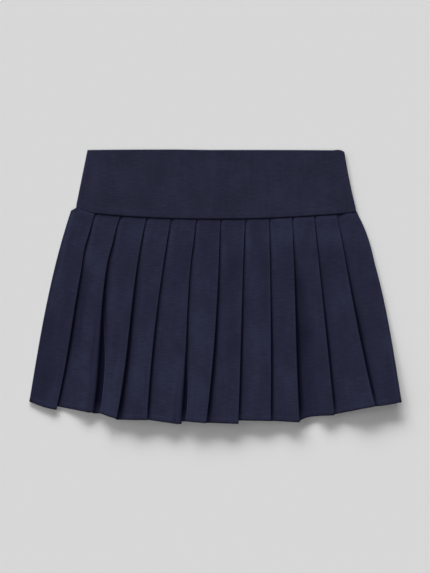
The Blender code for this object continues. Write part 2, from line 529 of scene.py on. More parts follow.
def new_material(name: str) -> tuple[bpy.types.Material, NodeBench]:
    """A new material, and the bench for its nodes.

    Args:
        name: The material's name.

    Returns:
        The material and the bench.
    """
    material = bpy.data.materials.new(name)
    material.use_nodes = True
    return material, NodeBench(material.node_tree)


@dataclass(frozen=True)
class NavyKnit:
    """Matt navy knit: fine ribs, slubs across the cloth, uneven dye, painted shade and painted highlights.
    """

    name: str
    dark: tuple[float, float, float]
    light: tuple[float, float, float]
    # Colour of the painted shade in crevices, under folds, along the seam and along the hem's edge.
    painted_shade_colour: tuple[float, float, float] = (0.0046, 0.0054, 0.0160)
    slubs: Spots = Spots(13.0, 1.5, 2.0, 1.7)
    clouds: Spots = Spots(34.0, 46.0, 2.0, 1.3)
    streaks: Spots = Spots(4.2, 60.0, 1.0, 0.5)
    yarn: Spots = Spots(0.55, 0.8, 1.0, 0.5)
    rib_pitch: float = 0.85
    row_pitch: float = 0.62
    loop_slant: float = 1.3
    rib_ridge: float = 0.6
    knit_contrast: float = 0.26
    # How much the painted highlight lightens the dye.
    painted_highlight_contrast: float = 0.45
    roughness: float = 0.86
    yarn_roughness: float = 0.1
    pressed_shine: float = 0.08
    gloss: float = 0.02
    sheen: float = 0.045
    sheen_roughness: float = 0.55
    sheen_tint: tuple[float, float, float] = (0.24, 0.3, 0.58)
    knit_relief: float = 0.6
    yarn_relief: float = 0.5
    slub_relief: float = 0.35
    relief_strength: float = 0.55
    relief_depth: float = 0.12

    def material(self) -> bpy.types.Material:
        """The cloth as a material, laid out in the cloth's own cut coordinates.

        Returns:
            The material.
        """
        material, bench = new_material(self.name)
        cut = bench.add("UVMap", {"uv_map": "cut"}).outputs[0]
        slubs, clouds, streaks, yarn = [
            bench.noise(cut, spots) for spots in (self.slubs, self.clouds, self.streaks, self.yarn)
        ]
        knit = self.stitches(bench, cut)
        # The mesh's marks: painted highlight, which also makes the cloth a little shinier, and painted
        # shade.
        shine_and_painted_highlight = bench.add("Attribute", {"attribute_name": "shine_and_painted_highlight"}).outputs["Fac"]
        painted_shade = bench.add("Attribute", {"attribute_name": "painted_shade"}).outputs["Fac"]

        # Painted highlight: the dye is lightened where the cloth is marked as catching light.
        tone = bench.sum("MULTIPLY_ADD", shine_and_painted_highlight, self.painted_highlight_contrast, 0.5)
        for value, contrast in (
            (slubs, self.slubs.contrast),
            (clouds, self.clouds.contrast),
            (streaks, self.streaks.contrast),
            (yarn, self.yarn.contrast),
            (knit, self.knit_contrast),
        ):
            tone = bench.sum("ADD", tone, bench.sum("MULTIPLY_ADD", value, contrast, -0.5 * contrast))
        dye = bench.blend(tone, self.dark, self.light)

        smoothest = self.roughness - 0.5 * self.yarn_roughness
        worn = bench.sum("MULTIPLY_ADD", yarn, self.yarn_roughness, smoothest)
        relief = bench.sum("MULTIPLY", knit, self.knit_relief)
        relief = bench.sum("MULTIPLY_ADD", yarn, self.yarn_relief, relief)
        relief = bench.sum("MULTIPLY_ADD", slubs, self.slub_relief, relief)
        # Painted shade: the dye is blended towards a dark navy where the cloth is marked as lying in shade.
        bench.dress(
            {
                "Base Color": bench.blend(painted_shade, dye, self.painted_shade_colour),
                "Roughness": bench.sum("SUBTRACT", worn, bench.sum("MULTIPLY", shine_and_painted_highlight, self.pressed_shine)),
                "Specular IOR Level": self.gloss,
                "Sheen Weight": self.sheen,
                "Sheen Roughness": self.sheen_roughness,
                "Sheen Tint": (*self.sheen_tint, 1.0),
                "Normal": bench.bump(relief, self.relief_strength, self.relief_depth),
            }
        )
        return material

    def stitches(self, bench: NodeBench, cut: bpy.types.NodeSocket) -> bpy.types.NodeSocket:
        """The knit's rows of V-shaped loops.

        Args:
            bench: The material's nodes.
            cut: The cloth's own coordinates, in metres.

        Returns:
            The height of the loops, from 0 to 1.
        """
        parts = bench.add("SeparateXYZ", {}, {0: cut})
        rib = bench.sum("MULTIPLY", parts.outputs[0], 1 / (self.rib_pitch * MM))
        row = bench.sum("MULTIPLY", parts.outputs[1], 1 / (self.row_pitch * MM))
        aside = bench.sum("PINGPONG", rib, 0.5)
        slant = bench.sum("MULTIPLY_ADD", aside, self.loop_slant, row)
        loop = bench.sum("MULTIPLY_ADD", bench.sum("SINE", bench.sum("MULTIPLY", slant, 2 * pi)), 0.5, 0.5)
        ridge = bench.sum("SINE", bench.sum("MULTIPLY", aside, 2 * pi))
        ridge = bench.sum("MULTIPLY_ADD", ridge, self.rib_ridge, 1.0 - self.rib_ridge)
        return bench.sum("MULTIPLY", loop, ridge)


@dataclass(frozen=True)
class SewingThread:
    """Spun navy thread, a little lighter than the cloth and twisted."""

    name: str = "navy_sewing_thread"
    dark: tuple[float, float, float] = (0.01353, 0.01599, 0.03772)
    light: tuple[float, float, float] = (0.01947, 0.02301, 0.05428)
    bands_to_metre: float = 2000.0 / 6.3
    unevenness: float = 1.2
    roughness: float = 0.7
    gloss: float = 0.1
    sheen: float = 0.04
    relief_strength: float = 0.5
    relief_depth: float = 0.06

    def material(self) -> bpy.types.Material:
        """The thread as a material, with its twist as slanting bands.

        Returns:
            The material.
        """
        material, bench = new_material(self.name)
        place = bench.add("TexCoord").outputs["Object"]
        sockets = {"Vector": place, "Scale": self.bands_to_metre, "Distortion": self.unevenness}
        twist = bench.add("TexWave", {"bands_direction": "DIAGONAL"}, sockets).outputs["Fac"]
        bench.dress(
            {
                "Base Color": bench.blend(twist, self.dark, self.light),
                "Roughness": self.roughness,
                "Specular IOR Level": self.gloss,
                "Sheen Weight": self.sheen,
                "Normal": bench.bump(twist, self.relief_strength, self.relief_depth),
            }
        )
        return material


# ---------------------------------------------------------------- cloth and thread as meshes


@dataclass
class ClothShell:
    """A closed thin shell round a grid of centre points, whose rows run down the skirt."""

    name: str
    centres: np.ndarray
    cut: np.ndarray
    half: np.ndarray
    marks: dict[str, np.ndarray]
    normals: np.ndarray = field(init=False)

    def __post_init__(self) -> None:
        """Works out which way the right side of the cloth faces at each point."""
        along = np.gradient(self.centres, axis=1)
        down = np.gradient(self.centres, axis=0)
        normals = np.cross(down, along)
        self.normals = normals / np.linalg.norm(normals, axis=2, keepdims=True)

    def face(self, side: int) -> np.ndarray:
        """The grid moved to the right side (1) or the wrong side (-1) of the cloth."""
        return self.centres + side * self.half[..., None] * self.normals

    def border(self) -> tuple[np.ndarray, np.ndarray]:
        """The border's places in the grid, clockwise, and how far each one bulges outwards.

        Returns:
            The rows and columns, and the steps outwards.
        """
        rows, columns = self.half.shape
        last_row, last = rows - 1, columns - 1
        places = [(0, j) for j in range(last)]
        places += [(i, last) for i in range(last_row)]
        places += [(last_row, j) for j in range(last, 0, -1)]
        places += [(i, 0) for i in range(last_row, 0, -1)]
        outwards = np.zeros((len(places), 3))
        for n, (i, j) in enumerate(places):
            if i in (0, last_row):
                inner = 1 if i == 0 else last_row - 1
                step = self.centres[i, j] - self.centres[inner, j]
                outwards[n] = step / np.linalg.norm(step) * self.half[i, j]
        return np.array(places), outwards

    def build(self) -> bpy.types.Object:
        """Makes the mesh, with the cut coordinates and the marks of painted highlight and painted shade on
        it.

        Returns:
            The piece of cloth.
        """
        rows, columns = self.half.shape
        count = rows * columns
        index = np.arange(count).reshape(rows, columns)
        a, b, c, d = index[:-1, :-1], index[1:, :-1], index[1:, 1:], index[:-1, 1:]
        right = np.stack([a, b, c, d], axis=-1).reshape(-1, 4)
        wrong = right[:, ::-1] + count

        places, outwards = self.border()
        on_border = index[places[:, 0], places[:, 1]]
        after = np.roll(on_border, -1)
        rim = 2 * count + np.arange(len(places))
        rim_after = np.roll(rim, -1)
        upper = np.stack([on_border, after, rim_after, rim], axis=-1)
        under = np.stack([rim, rim_after, after + count, on_border + count], axis=-1)
        rim_points = self.centres[places[:, 0], places[:, 1]] + outwards

        points = np.concatenate([self.face(1).reshape(-1, 3), self.face(-1).reshape(-1, 3), rim_points])
        faces = np.concatenate([right, wrong, upper, under])
        cut = self.cut.reshape(-1, 2)
        cut = np.concatenate([cut, cut, self.cut[places[:, 0], places[:, 1]]])

        mesh = bpy.data.meshes.new(self.name)
        mesh.from_pydata((points * MM).tolist(), [], faces.tolist())
        layer = mesh.uv_layers.new(name="cut")
        layer.data.foreach_set("uv", (cut[faces.reshape(-1)] * MM).reshape(-1))
        for mark, amount in self.marks.items():
            flat = amount.reshape(-1)
            layer = mesh.attributes.new(mark, "FLOAT", "POINT")
            layer.data.foreach_set("value", np.concatenate([flat, flat, amount[places[:, 0], places[:, 1]]]))
        mesh.shade_smooth()
        mesh.validate()
        return put_in_scene(self.name, mesh)


@dataclass
class StitchRow:
    """A row of sewn stitches along a line on the cloth.

    bows gives one stitch's sections: how far along it each lies, how high, and how thick it is.
    """

    name: str
    first: float = 0.6
    pitch: float = 3.1
    length: float = 2.3
    thickness: float = 0.38
    sunk: float = 0.4
    sides: int = 6
    bows: Sequence[tuple[float, float, float]] = (
        (0.0, -1.1, 0.35),
        (0.14, 0.1, 0.85),
        (0.5, 0.5, 1.0),
        (0.86, 0.1, 0.85),
        (1.0, -1.1, 0.35),
    )
    finish: SewingThread = field(default_factory=SewingThread)

    def build(self, line: np.ndarray, normals: np.ndarray) -> bpy.types.Object:
        """Sews along a line.

        Args:
            line: Points along the face of the cloth.
            normals: Which way the cloth faces at each of them.

        Returns:
            All the row's stitches as one piece.
        """
        lengths = run_lengths(line[None], 1)[0]
        points: list[np.ndarray] = []
        faces: list[tuple[int, ...]] = []
        for start in np.arange(self.first, lengths[-1] - self.length, self.pitch):
            base = len(points)
            places = [start + share * self.length for share, _, _ in self.bows]
            on_line = np.stack([np.interp(places, lengths, line[:, k]) for k in range(3)], axis=1)
            up = np.stack([np.interp(places, lengths, normals[:, k]) for k in range(3)], axis=1)
            up /= np.linalg.norm(up, axis=1, keepdims=True)
            forward = np.gradient(on_line, axis=0)
            forward /= np.maximum(np.linalg.norm(forward, axis=1, keepdims=True), 1e-9)
            aside = np.cross(forward, up)
            for n, (_, bow, girth) in enumerate(self.bows):
                middle = on_line[n] + up[n] * (bow - self.sunk) * self.thickness
                reach = self.thickness / 2 * girth
                for k in range(self.sides):
                    angle = 2 * pi * k / self.sides
                    points.append(middle + reach * (cos(angle) * aside[n] + sin(angle) * up[n]))
            faces += self.stitch_faces(base)
        mesh = bpy.data.meshes.new(self.name)
        mesh.from_pydata([(p * MM).tolist() for p in points], [], faces)
        mesh.shade_smooth()
        mesh.materials.append(self.finish.material())
        return put_in_scene(self.name, mesh)

    def stitch_faces(self, base: int) -> list[tuple[int, ...]]:
        """One stitch's faces: its sides, and the two ends.

        Args:
            base: Number of the stitch's first point.

        Returns:
            The faces.
        """
        sides, last = self.sides, len(self.bows) - 1
        faces: list[tuple[int, ...]] = []
        for n in range(last):
            for k in range(sides):
                a, b = base + n * sides + k, base + n * sides + (k + 1) % sides
                faces.append((a, b, b + sides, a + sides))
        faces.append(tuple(base + k for k in reversed(range(sides))))
        faces.append(tuple(base + last * sides + k for k in range(sides)))
        return faces


# ---------------------------------------------------------------- the pleats


@dataclass(frozen=True)
class Station:
    """One point of a pleated panel's centre line at a row."""

    x: float
    z: float
    hem_y: float
    # The first mark is how much painted highlight, with a little real shine, the cloth has here, and the
    # second how much painted shade.
    shine_and_painted_highlight: float = 0.0
    painted_shade: float = 0.0


@dataclass(frozen=True)
class FaceStart:
    """Where a panel's face begins: at its left side, or beside the fold that it comes out from."""

    x: float
    level: float
    lift: float
    hem_y: float
    late: float = 0.0
    swoop: float = 0.0
    # From here on: the painted shade beside the fold and how far it runs, how far the next panel stays clear
    # of the fold, the strength of the broader painted hollow shade, and of the painted highlight along a
    # spread fold's crisp edge.
    painted_shade: float = 0.0
    painted_shade_run: float = 1.0
    gape: float = 0.0
    hollow_shade: float = 0.0
    crisp: float = 0.0


@dataclass(frozen=True)
class FaceEnd:
    """Where a panel's face ends and its fold starts to turn, and how that edge stands and hangs."""

    x: float
    hem_y: float
    stand: float = 0.0
    sag: float = 0.0
    rolls: float = 0.0


INNER_LAYER, MIDDLE_LAYER, OUTER_LAYER = 0.0, 1.0, 2.0

LEFT_SIDE = SideEdge(
    -194.5, -218.5, -236.0, -250.4,
    hem_y=-154.4, roll_at_seam=1.25, roll_at_hem=0.85, drop_at_seam=30.0, drop_at_hem=26.0,
)
RIGHT_SIDE = SideEdge(
    189.4, 217.6, 235.4, 248.9,
    hem_y=-155.0, roll_at_seam=1.25, roll_at_hem=3.0, drop_at_seam=13.0, drop_at_hem=26.0,
    shoulder=1.7, sag=0.9,
)

FRONT_FOLDS = (
    PleatFold(
        -162.3, -182.2, -196.7, -214.1, -165.0, -160.4,
        lift=-0.6, stands_mid=1.0, stands_hem=0.8, sag=1.4, gapes=0.8, bow=(-1.5, 0.19),
    ),
    PleatFold(
        -128.0, -148.8, -155.1, -163.0, -168.6, -169.9,
        lift=-0.8, stands_mid=2.8, stands_hem=3.0, opens=8.2, opens_from=0.34, opens_by=0.8,
        gapes=2.6, bow=(1.4, 0.14),
    ),
    PleatFold(
        -92.8, -108.6, -118.9, -132.4, -176.5, -178.2,
        lift=1.1, stands_mid=1.6, stands_hem=2.9, sag=0.6, gapes=1.1, hollow_shade=0.46,
    ),
    PleatFold(
        -60.1, -74.1, -84.9, -91.7, -178.6, -178.2,
        lift=3.3, stands_mid=0.5, stands_hem=0.8, gapes=0.2, hollow_shade=0.06,
    ),
    PleatFold(
        -26.0, -36.0, -40.3, -45.4, -183.8, -180.6,
        lift=1.6, stands_mid=0.3, stands_hem=2.2, opens=5.8, opens_by=0.9, gapes=0.2, hollow_shade=0.06,
        bow=(0.9, 0.11),
    ),
    PleatFold(
        6.0, 2.9, -3.1, -12.5, -182.6, -182.1,
        lift=3.3, stands_mid=1.2, stands_hem=2.2, gapes=0.9, hollow_shade=0.3,
    ),
    PleatFold(
        39.5, 36.1, 33.4, 30.4, -183.6, -179.1,
        lift=3.2, stands_mid=0.6, stands_hem=0.8, gapes=0.3,
    ),
    PleatFold(
        71.7, 73.4, 74.2, 74.0, -179.9, -179.8,
        lift=2.0, stands_mid=0.5, stands_hem=0.6, gapes=0.3,
    ),
    PleatFold(
        102.2, 106.0, 108.5, 112.5, -181.5, -174.7,
        lift=0.4, stands_mid=2.4, stands_hem=3.4, late=0.55, swoop=5.6, gapes=1.2, hollow_shade=0.42,
        shut=0.03,
    ),
    PleatFold(
        131.9, 141.0, 150.1, 159.1, -172.1, -171.1,
        lift=1.2, stands_mid=1.0, stands_hem=0.6, gapes=0.5, hollow_shade=0.24, shut=-0.06,
    ),
    PleatFold(
        163.4, 178.0, 194.2, 213.2, -160.3, -160.2,
        lift=2.4, stands_mid=2.6, stands_hem=2.2, gapes=1.4, hollow_shade=0.3, bow=(-1.2, 0.03),
    ),
)


@dataclass(frozen=True)
class Crevice:
    """The painted shade of the dark line beside a fold, which widens down the skirt as the pleats come
    loose.

    width is how wide its shade is, in parts at the seam, gained by halfway, and gained where the fold
    stands and where the pleats are loose. The Onsets say where each change comes.
    """

    width: float = 1.7
    at_seam: float = 0.65
    gained: float = 0.5
    by_stand: float = 0.5
    by_looseness: float = 1.2
    loose_gape: float = 0.55
    loosens: Onset = Onset(0.4, 0.25)
    gapes: Onset = Onset(0.2, 0.4)
    # How the painted hollow shade beside a fold grows down the skirt, and how far it reaches.
    hollow_shade_grows: Onset = Onset(0.15, 0.25)
    hollow_shade_run: float = 7.5

    def shade_run(self, down: float, stand: float) -> float:
        """How wide the shade is at a row."""
        share = self.at_seam + self.gained * UPPER_HALF.at(down)
        return self.width * share + self.by_stand * stand + self.by_looseness * self.loosens.at(down)

    def gape(self, down: float, fold: PleatFold) -> float:
        """How far off the fold the next panel's shade begins."""
        return fold.gapes * self.gapes.at(down) + self.loose_gape * self.loosens.at(down)


@dataclass(frozen=True)
class OpenFold:
    """The shape of a fold that has spread open towards the hem.

    bulge is how much further its edge reaches, under_stand how far the layer under the edge follows
    it up, and droop and under_droop how much of that is lost as it opens. level is the layer that the
    next panel rises to, steps gives the places and layers of that rise beside the fold, lit_above the
    layer below which the crevice keeps its painted shade, pressed how strong the painted highlight
    along the crisp edge at its top is, and painted_highlight_run how far that painted highlight reaches.
    """

    bulge: float = 6.0
    droop: float = 0.6
    droops: Onset = Onset(-7.0, 7.0)
    under_stand: float = 0.45
    under_droop: float = 0.8
    level: float = 1.75
    steps: Sequence[tuple[float, float]] = (
        (-0.8, 0.0),
        (-0.35, 0.25),
        (-0.12, 1.3),
        (0.12, 1.72),
        (0.4, 1.75),
    )
    lit_above: float = 1.0
    step_width: float = 0.3
    step_spread: float = 1.3
    shine_and_painted_highlight: float = 0.8
    painted_highlight_run: float = 4.0


@dataclass(frozen=True)
class HemFinish:
    """The turned-up hem: where it is doubled, stitched, stood up from the floor, and painted in shade at its
    edge.
    """

    half: float = 0.46
    doubled: Onset = Onset(6.0, -0.9)
    stitched_at: float = 5.0
    stands: float = 0.42
    rises: Onset = Onset(14.0, -8.0)
    # Painted shade along the hem's edge.
    edge_shade: float = 0.6
    edge_darkens: Onset = Onset(2.2, -1.4)
    # Near the hem the painted crevice shade is made lighter, as light gets in there.
    catches_light: float = 0.6
    catches: Onset = Onset(0.93, 0.07)


@dataclass
class PleatedPanel:
    """One pleated panel: faces that climb over the next fold, and the cloth folded under each."""

    name: str
    node: str
    lies: Lies
    left: SideEdge
    right: SideEdge
    folds: Sequence[PleatFold]
    finish: NavyKnit
    rests_on: Sequence[str]
    cut_size: tuple[float, float] = (0.880, 0.270)
    cut_area: float = 0.225
    creases: Sequence[Crease] = ()
    corner: CornerLift = CornerLift()
    flattened: FlattenedSide = FlattenedSide()
    seam: SeamLine = SeamLine()
    crevice: Crevice = Crevice()
    open_fold: OpenFold = OpenFold()
    hem: HemFinish = HemFinish()
    length: float = 262.0
    top_rows: Sequence[float] = (0.0, 0.4, 1.0, 1.8, 2.9, 4.4, 6.4)
    bottom_rows: Sequence[float] = (8.5, 7.2, 6.4, 5.8, 5.2, 4.4, 3.2, 2.0, 1.0, 0.4, 0.0)
    row_step: float = 2.9
    face_steps: int = 15
    turn_steps: int = 5
    back_steps: Sequence[float] = (0.35, 0.7, 1.0)
    out_steps: Sequence[float] = (0.5, 1.0)
    cloth: float = 0.62
    solid_half: float = 0.5
    pitch_at_seam: float = 0.66
    pitch_below_seam: float = 1.05
    pitch_at_hem: float = 1.45
    free_of_seam: Onset = Onset(0.0, 0.14)
    cloth_a_pleat: float = 73.0
    deepest_underlap: float = 20.0
    shortest_ramp: float = 12.0
    underlap_recess: float = 1.5
    crest_run: float = 9.0
    crest_sharpness: float = 1.5
    # How far the painted highlight reaches in from a fold's edge, and how much painted shade the fold's turn
    # gets.
    edge_highlight_run: float = 2.5
    turn_shade: float = 0.8
    swoop_run: float = 6.4
    side_holds: Onset = Onset(3.0, 14.0)
    # Where the pleats' top gets painted shade under the yoke's edge, and where that stops at the right end.
    seam_shade: Onset = Onset(0.9, -0.8)
    right_end: Onset = Onset(188.0, -6.0)

    # ------------------------------------------------ heights

    def pitch(self, down: float, x: float) -> float:
        """Height from one layer of a pleat's stack to the next, which is sewn flat at the seam.

        Args:
            down: Which row, from 0 at the seam to 1 at the hem.
            x: The place across the panel.

        Returns:
            The height of one layer.
        """
        sewn = mix(self.pitch_at_seam, self.pitch_below_seam, self.free_of_seam.at(down))
        loose = (self.pitch_at_hem - self.pitch_below_seam) * down
        flat = self.flattened.closer * self.flattened.share(self.lies.value * x, down)
        return (sewn + loose) * (1.0 - flat)

    def side_height(self, roll: float) -> float:
        """Underside of the front where it leaves the side edge's turn."""
        return 2 * (roll + SEAM_UPRIGHT) + SEAM_GAP

    def rest(self, x: float, down: float) -> float:
        """Underside of the lowest layer."""
        raise NotImplementedError

    def level_at_side(self) -> float:
        """Layer that the faces have at the side edges."""
        raise NotImplementedError

    def climbs_until(self, start: float, inner: float, down: float) -> float:
        """Where a face has reached the top of the stack."""
        raise NotImplementedError

    def height(self, down: float, x: float, level: float, lift: float) -> float:
        """Height of the cloth's middle on a layer of the stack, or between two layers."""
        up = self.lies.value * level * self.pitch(down, x)
        return self.cloth / 2 + self.rest(x, down) + lift + up

    # ------------------------------------------------ one row

    def turn(
        self, x: float, reach: float, top: float, bottom: float, hem_y: float, rolls: float = 0.0
    ) -> list[Station]:
        """A fold's rounded edge, from its upper layer to its lower one.

        Args:
            x: Where the layers stop and the edge begins.
            reach: How far the edge bulges past that, to the left where it is negative.
            top: Height of the layer that comes in.
            bottom: Height of the layer that goes out.
            hem_y: Where this line of the cloth meets the hem.
            rolls: How softly the edge rolls over, from 0 to 1, which gives it more painted shade on top.

        Returns:
            The stations after the first.
        """
        middle, half = (top + bottom) / 2, (top - bottom) / 2
        found = []
        for i in range(1, self.turn_steps + 1):
            angle = pi / 2 - pi * i / self.turn_steps
            # Painted highlight on top of the turn and painted shade under it; a soft roll takes more painted
            # shade on top, and a turn back in is all painted shade.
            painted_shade = smooth(0.5 + 0.5 * rolls - self.turn_shade * sin(angle)) if reach > 0 else 1.0
            place = (x + reach * cos(angle), middle + half * sin(angle), hem_y)
            found.append(Station(*place, 1.0 - painted_shade, painted_shade))
        return found

    def side_curl(self, edge: SideEdge, inward: int, down: float) -> list[tuple[float, float]]:
        """The side edge's quarter turn, from the side seam round to the flat of the cloth.

        Args:
            edge: The side edge.
            inward: 1 for the left edge, and -1 for the right one.
            down: Which row, from 0 at the seam to 1 at the hem.

        Returns:
            The places across and the heights, from the seam to the flat.
        """
        roll = edge.roll(down)
        edge_x = edge.at(down)
        flat_x = edge_x + inward * (self.cloth / 2 + roll)
        seam_z = self.solid_half + roll + SEAM_UPRIGHT + SEAM_GAP / 2
        flat_z = self.height(down, flat_x, self.level_at_side(), 0.0)
        start_x = edge_x + inward * self.cloth / 2
        return quarter_turn(start_x, flat_x, -inward * roll, seam_z, flat_z, self.lies.value)

    def face(self, down: float, begin: FaceStart, inner: FaceStart, end: FaceEnd) -> list[Station]:
        """The face of one panel, from where it begins to where its fold starts to turn.

        Args:
            down: Which row, from 0 at the seam to 1 at the hem.
            begin: Where the face begins.
            inner: Where the stack of its own fold begins.
            end: Where the fold starts to turn.

        Returns:
            The stations after the first.
        """
        crest_run = self.crest_run
        top_x = self.climbs_until(begin.x, inner.x, down)
        low_x = mix(begin.x, top_x, begin.late * UPPER_HALF.at(down)) + begin.gape
        lifts_from = mix(begin.x, inner.x, begin.late)
        found = []
        for x in spaced(begin.x, end.x, self.face_steps):
            level = mix(begin.level, inner.level, smooth((x - low_x) / max(top_x - low_x, 1e-6)))
            lift = mix(begin.lift, inner.lift, smooth((x - lifts_from) / (inner.x - lifts_from)))
            crest = smooth((x - inner.x + crest_run) / (end.x - inner.x + crest_run)) ** self.crest_sharpness
            droop = self.open_fold.droop * end.rolls * self.open_fold.droops.at(x - end.x)
            z = self.height(down, x, level, lift) + end.stand * crest * (1.0 - droop)

            share = (x - begin.x) / (end.x - begin.x)
            hem_y = mix(begin.hem_y, end.hem_y, share) - 4 * end.sag * share * (1 - share)
            hem_y -= begin.swoop * exp(-(x - begin.x) / self.swoop_run)

            # Painted shade beside the fold that this face comes out from, and a broader fainter painted
            # hollow shade.
            past = x - begin.x - begin.gape
            shade = begin.painted_shade * (1.0 - smooth(past / begin.painted_shade_run))
            shade += (1.0 - shade) * begin.hollow_shade * exp(-max(past, 0.0) / self.crevice.hollow_shade_run)
            # Painted highlight along the fold's own edge and along a spread fold's crisp edge.
            shine_and_painted_highlight = max(0.0, 1.0 - (end.x - x) / self.edge_highlight_run)
            shine_and_painted_highlight = max(shine_and_painted_highlight, begin.crisp * exp(-(x - begin.x) / self.open_fold.painted_highlight_run))
            found.append(Station(x, z, hem_y, shine_and_painted_highlight, shade))
        return found

    def stations(self, down: float) -> list[Station]:
        """The centre line of the panel at one row, from its left side to its right.

        Args:
            down: Which row, from 0 at the seam to 1 at the hem.

        Returns:
            The stations from left to right.
        """
        left, right = self.left, self.right
        edges = [left.at(down), *[fold.at(down) for fold in self.folds], right.at(down)]
        left_curl = self.side_curl(left, 1, down)
        right_curl = self.side_curl(right, -1, down)
        path = [Station(x, z, left.hem_y) for x, z in left_curl]
        begin = FaceStart(left_curl[-1][0], self.level_at_side(), 0.0, left.hem_y)
        spread = 0.0
        for k, fold in enumerate(self.folds):
            edge = edges[k + 1]
            turn = self.pitch(down, edge) / 2
            width, next_width = edge - edges[k], edges[k + 2] - edge
            left_over = (self.cloth_a_pleat - next_width) / 2
            depth = min(left_over, self.deepest_underlap, width - spread - self.shortest_ramp)
            opened = fold.opening(down)
            lift = fold.lift * down**2
            stand = fold.stand(down)
            inner_hem = mix(fold.over_y, begin.hem_y, depth / width)
            inner = FaceStart(edge - depth, OUTER_LAYER, lift, inner_hem)
            reach = turn + self.open_fold.bulge * opened
            end = FaceEnd(edge - self.cloth / 2 - reach, fold.over_y, stand, fold.sag, opened)
            path += self.face(down, begin, inner, end)
            path += self.folded_under(down, edge, fold, inner, end, path[-1].z)
            path += self.crisp_step(down, edge, fold, lift, opened)
            # The next face starts with painted shade beside the fold, or with a painted highlight on the
            # crisp edge where the fold has spread.
            begin = FaceStart(
                path[-1].x,
                self.open_fold.level * opened,
                lift,
                fold.under_y,
                fold.late,
                fold.swoop,
                painted_shade=(1.0 - opened) * fold.shade(down),
                painted_shade_run=self.crevice.shade_run(down, stand),
                gape=self.crevice.gape(down, fold) * (1.0 - opened),
                hollow_shade=fold.hollow_shade * self.crevice.hollow_shade_grows.at(down) * (1.0 - opened),
                crisp=opened,
            )
            spread = opened * fold.opens

        side = FaceStart(right_curl[-1][0], self.level_at_side(), 0.0, right.hem_y)
        path += self.face(down, begin, side, FaceEnd(side.x, right.hem_y, 0.0, right.sag))[:-1]
        return path + [Station(x, z, right.hem_y) for x, z in reversed(right_curl)]

    def folded_under(
        self, down: float, edge: float, fold: PleatFold, inner: FaceStart, end: FaceEnd, top: float
    ) -> list[Station]:
        """The cloth of one pleat that is folded under: round the fold's edge, back in, round, and out.

        Args:
            down: Which row, from 0 at the seam to 1 at the hem.
            edge: Where the fold's edge lies.
            fold: The fold.
            inner: Where its stack begins.
            end: Where it starts to turn.
            top: Height of the face there.

        Returns:
            The stations after the face's last.
        """
        opened, lift = end.rolls, inner.lift
        turn = self.pitch(down, edge) / 2
        follows = self.open_fold.under_stand * end.stand * (1.0 - self.open_fold.under_droop * opened)
        back_out = self.height(down, edge, MIDDLE_LAYER, lift) + follows
        found = self.turn(end.x, turn + self.open_fold.bulge * opened, top, back_out, fold.over_y, opened)
        in_x = inner.x + self.cloth / 2 + turn
        under_hem = inner.hem_y + self.underlap_recess
        back_in = self.height(down, inner.x, MIDDLE_LAYER, lift)
        # The cloth folded under is marked as all in painted shade.
        for share in self.back_steps:
            z = mix(back_out, back_in, smooth(share))
            found.append(Station(mix(end.x, in_x, share), z, mix(fold.over_y, under_hem, share), 0.0, 1.0))
        out = self.height(down, inner.x, INNER_LAYER, lift)
        found += self.turn(in_x, -turn, back_in, out, under_hem)
        for share in self.out_steps:
            x = mix(in_x, edge, share)
            hem_y = mix(under_hem, fold.under_y - fold.swoop, share)
            found.append(Station(x, self.height(down, x, INNER_LAYER, lift), hem_y, 0.0, 1.0))
        return found

    def crisp_step(
        self, down: float, edge: float, fold: PleatFold, lift: float, opened: float
    ) -> list[Station]:
        """The crevice beside a spread fold, and the crisp edge that the next panel rises to.

        Args:
            down: Which row, from 0 at the seam to 1 at the hem.
            edge: Where the fold's edge lies.
            fold: The fold.
            lift: How high the cloth is carried there.
            opened: How much of the fold's spread has come.

        Returns:
            The stations after the folded cloth's last.
        """
        shape = self.open_fold
        found = []
        foot = edge + opened * fold.opens
        for share, level in shape.steps:
            x = foot + share * (shape.step_width + shape.step_spread * opened)
            z = self.height(down, x, level * opened, lift)
            # Painted shade in the crevice, below lit_above where the fold has spread, and a painted
            # highlight on the crisp edge above it.
            painted_shade = fold.shade(down) * mix(1.0, 1.0 if level < shape.lit_above else 0.0, opened)
            hem_y = fold.under_y - fold.swoop
            found.append(Station(x, z, hem_y, shape.shine_and_painted_highlight * opened * (1.0 - painted_shade), painted_shade))
        return found

    # ------------------------------------------------ the whole panel

    def downs(self) -> list[float]:
        """The rows' places from the seam to the hem, closer together at both."""
        return rows_down(self.length, self.top_rows, self.bottom_rows, self.row_step)

    def shell(self) -> ClothShell:
        """The panel's cloth, worked out row by row.

        Returns:
            The shell.
        """
        hem = self.hem
        downs = self.downs()
        at_seam = self.stations(0.0)
        facing = self.lies.value
        seam_ys = np.array([self.seam.height(facing * s.x) - SEAM_GAP / 3 for s in at_seam])
        centres = np.zeros((len(downs), len(at_seam), 3))
        shine_and_painted_highlight, painted_shade = np.zeros((2, len(downs), len(at_seam)))
        for i, down in enumerate(downs):
            row = self.stations(down)
            hem_ys = np.array([s.hem_y for s in row]) + hem.half
            centres[i, :, 0] = [facing * s.x for s in row]
            centres[i, :, 1] = seam_ys + (hem_ys - seam_ys) * down
            centres[i, :, 2] = [s.z for s in row]
            # Painted highlight and painted shade at each station; the painted shade grows lighter near the
            # hem, where light gets in.
            shine_and_painted_highlight[i] = [s.shine_and_painted_highlight for s in row]
            painted_shade[i] = [s.painted_shade * (1.0 - hem.catches_light * hem.catches.at(down)) for s in row]

        x, y = centres[..., 0].copy(), centres[..., 1].copy()
        centres[..., 2] += self.corner.over(x, y)
        sides = np.array([(self.left.at(down), self.right.at(down)) for down in downs])
        across = facing * x
        held = self.side_holds.over(np.minimum(across - sides[:, :1], sides[:, 1:] - across))
